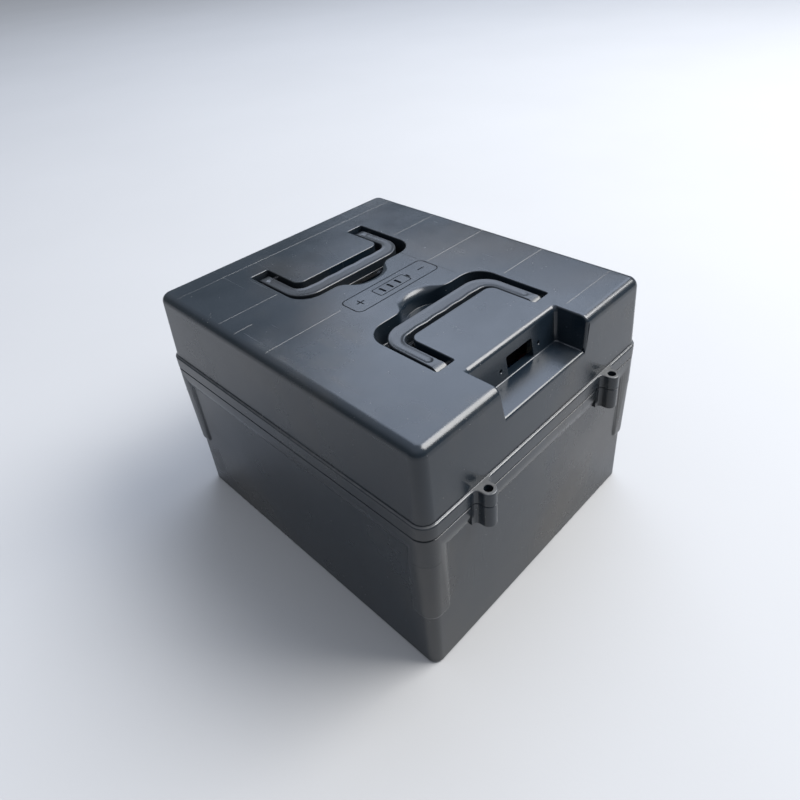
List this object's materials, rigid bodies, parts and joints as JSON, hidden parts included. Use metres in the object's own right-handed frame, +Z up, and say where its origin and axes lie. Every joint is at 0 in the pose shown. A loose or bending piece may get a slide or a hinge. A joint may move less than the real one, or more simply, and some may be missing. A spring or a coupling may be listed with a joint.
{
  "type": "battery pack",
  "caption": "Moulded black battery box with a bolted lid, folding carrying handles let into its top, a notch with an open window, and prismatic cells inside.",
  "frame": {"origin": "centre of the box at the underside of the base tub", "axes": "+Z up; -Y towards the front, the side with the notch in the lid; +X to the right seen from the front"},
  "size_m": [0.3078, 0.384, 0.247],
  "materials": {
    "case_plastic": "satin black moulded ABS, faintly blue-grey, fine moulding grain, light scuffs and dust",
    "handle_plastic": "satin black nylon, slightly lighter than the case",
    "seal_rubber": "matt black foam rubber seal",
    "foam": "closed-cell foam pad, dark grey",
    "screw_black": "black oxide steel socket screws",
    "pin_steel": "ground steel pins",
    "insert_brass": "turned brass",
    "cell_film": "prismatic cell cans in blue insulating film",
    "busbar_aluminium": "bright aluminium strap",
    "plate_aluminium": "mill-finish aluminium",
    "insulation_sheet": "pale yellow epoxy-glass sheet",
    "circuit_board": "green solder mask with black components",
    "fuse_body": "black moulded fuse body and base",
    "block_plastic": "black moulded terminal block",
    "cable_red": "dark red silicone cable",
    "cable_black": "black silicone cable"
  },
  "bodies": {
    "case": {"base_tub": "case_plastic", "lid_shell": "case_plastic", "seal_gasket": "seal_rubber", "lid_screw_front_left": "screw_black", "boss_insert_front_left": "insert_brass", "handle_pin_front_left": "pin_steel", "lid_screw_front_right": "screw_black", "boss_insert_front_right": "insert_brass", "handle_pin_front_right": "pin_steel", "lid_screw_rear_left": "screw_black", "boss_insert_rear_left": "insert_brass", "handle_pin_rear_left": "pin_steel", "lid_screw_rear_right": "screw_black", "boss_insert_rear_right": "insert_brass", "handle_pin_rear_right": "pin_steel", "floor_foam_pad": "foam", "cell_01": "cell_film", "cell_02": "cell_film", "cell_03": "cell_film", "cell_04": "cell_film", "cell_05": "cell_film", "cell_06": "cell_film", "cell_07": "cell_film", "cell_08": "cell_film", "cell_09": "cell_film", "cell_10": "cell_film", "cell_11": "cell_film", "cell_12": "cell_film", "cell_13": "cell_film", "cell_14": "cell_film", "cell_15": "cell_film", "cell_16": "cell_film", "busbar_01": "busbar_aluminium", "busbar_02": "busbar_aluminium", "busbar_03": "busbar_aluminium", "busbar_04": "busbar_aluminium", "busbar_05": "busbar_aluminium", "busbar_06": "busbar_aluminium", "busbar_07": "busbar_aluminium", "busbar_08": "busbar_aluminium", "busbar_09": "busbar_aluminium", "busbar_10": "busbar_aluminium", "busbar_11": "busbar_aluminium", "busbar_12": "busbar_aluminium", "busbar_13": "busbar_aluminium", "busbar_14": "busbar_aluminium", "busbar_15": "busbar_aluminium", "end_plate_front": "plate_aluminium", "end_plate_rear": "plate_aluminium", "bms_heat_sink": "plate_aluminium", "centre_insulation_sheet": "insulation_sheet", "top_insulation_sheet": "insulation_sheet", "bms_board": "circuit_board", "main_fuse": "fuse_body", "output_terminal_block": "block_plastic", "cable_cells_to_fuse": "cable_red", "cable_cells_to_board": "cable_black", "cable_board_to_block": "cable_black"},
    "front_handle": {"handle_front": "handle_plastic"},
    "rear_handle": {"handle_rear": "handle_plastic"}
  },
  "joints": [
    {"name": "front_handle_fold", "type": "hinge", "parent": "case", "child": "front_handle", "pos_m": [0, -0.1155, 0.2385], "axis": [1, 0, 0], "range_deg": [0, 90]},
    {"name": "rear_handle_fold", "type": "hinge", "parent": "case", "child": "rear_handle", "pos_m": [0, 0.1155, 0.2385], "axis": [-1, 0, 0], "range_deg": [0, 90]}
  ]
}
